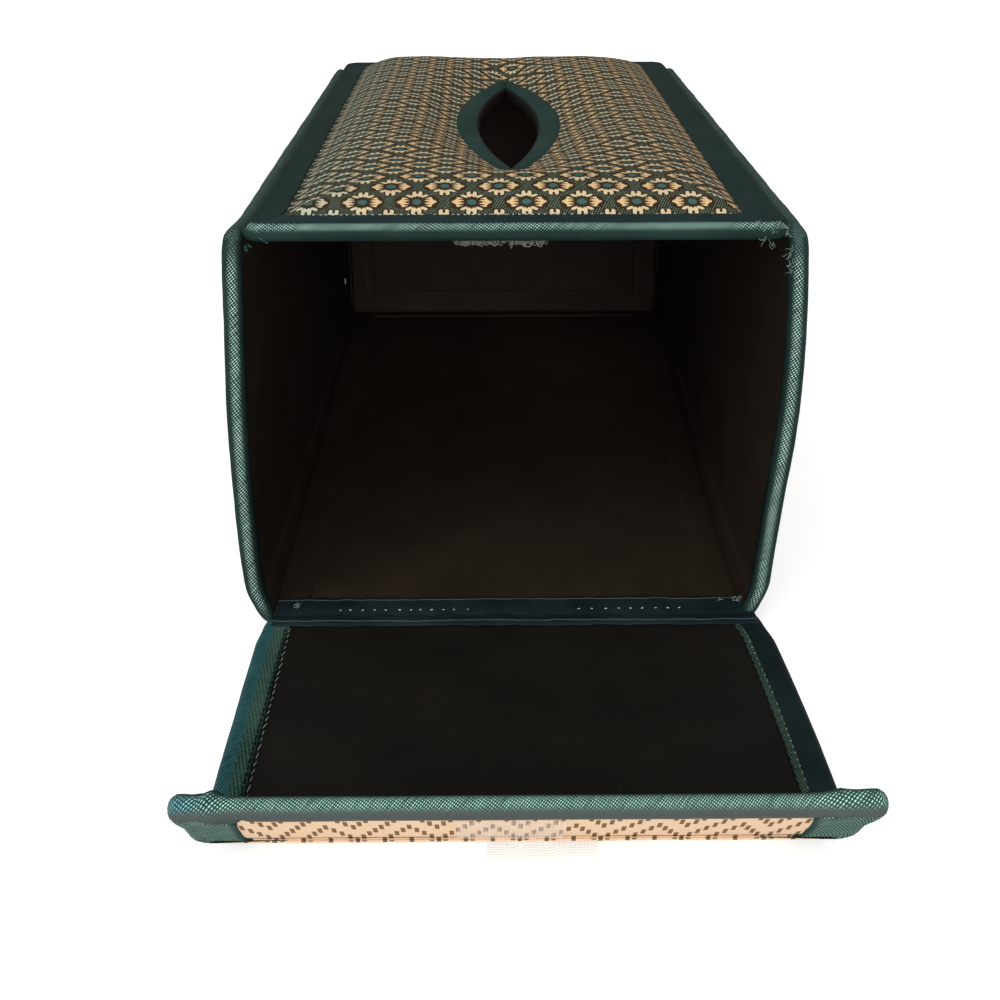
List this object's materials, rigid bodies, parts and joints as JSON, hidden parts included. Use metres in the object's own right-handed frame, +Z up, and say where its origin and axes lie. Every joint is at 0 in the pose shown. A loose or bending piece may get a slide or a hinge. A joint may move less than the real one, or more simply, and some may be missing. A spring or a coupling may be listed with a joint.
{
  "type": "tissue box cover",
  "caption": "Padded cloth-covered tissue box cover with a lens-shaped top slot and a drop-down front flap with a tuck-in lip.",
  "frame": {"origin": "centre of the box's bottom face, on the table", "axes": "+Y from the open front into the box, +Z up, +X to the right seen from the front"},
  "size_m": [0.13, 0.357, 0.1072],
  "materials": {
    "greyboard": "plain grey bookbinding board",
    "wadding": "soft polyester wadding",
    "brocade": "dark woven brocade with small flowers in peach, cream and teal",
    "peach_brocade": "peach woven brocade with small brown dashes",
    "black_lining": "black-brown plain woven lining",
    "teal_binding": "teal satin-faced twill tape",
    "ring_satin": "smooth teal satin",
    "navy_tape": "navy satin tape",
    "loop_pile": "fuzzy loop tape",
    "hook_mesh": "translucent moulded hook tape"
  },
  "bodies": {
    "box": {"top_board": "greyboard", "top_pad": "wadding", "top_cover": "brocade", "top_lining": "black_lining", "top_binding": "teal_binding", "slot_ring": "ring_satin", "bottom_board": "greyboard", "bottom_pad": "wadding", "bottom_cover": "black_lining", "bottom_lining": "black_lining", "bottom_binding": "teal_binding", "left_board": "greyboard", "left_pad": "wadding", "left_cover": "brocade", "left_lining": "black_lining", "left_binding": "teal_binding", "right_board": "greyboard", "right_pad": "wadding", "right_cover": "brocade", "right_lining": "black_lining", "right_binding": "teal_binding", "back_board": "greyboard", "back_pad": "wadding", "back_cover": "brocade", "back_lining": "black_lining", "back_binding": "teal_binding", "box_hinge_tape": "navy_tape", "loop_tape": "loop_pile"},
    "flap": {"flap_board": "greyboard", "flap_pad": "wadding", "flap_cover": "peach_brocade", "flap_lining": "black_lining", "flap_binding": "teal_binding", "flap_hinge_tape": "navy_tape", "flap_crease_tape": "navy_tape"},
    "lip": {"lip_board": "greyboard", "lip_pad": "wadding", "lip_cover": "peach_brocade", "lip_lining": "black_lining", "lip_binding": "teal_binding", "lip_crease_tape": "navy_tape", "hook_tape": "hook_mesh"}
  },
  "joints": [
    {"name": "flap_hinge", "type": "hinge", "parent": "box", "child": "flap", "pos_m": [0, -0.12825, 0.0038], "axis": [-1, 0, 0], "range_deg": [0, 90]},
    {"name": "lip_fold", "type": "hinge", "parent": "flap", "child": "lip", "pos_m": [0, -0.21195, 0.0038], "axis": [-1, 0, 0], "range_deg": [0, 43]}
  ],
  "couplings": [
    {"joint": "lip_fold", "follows": "flap_hinge", "ratio": 0.47777}
  ]
}
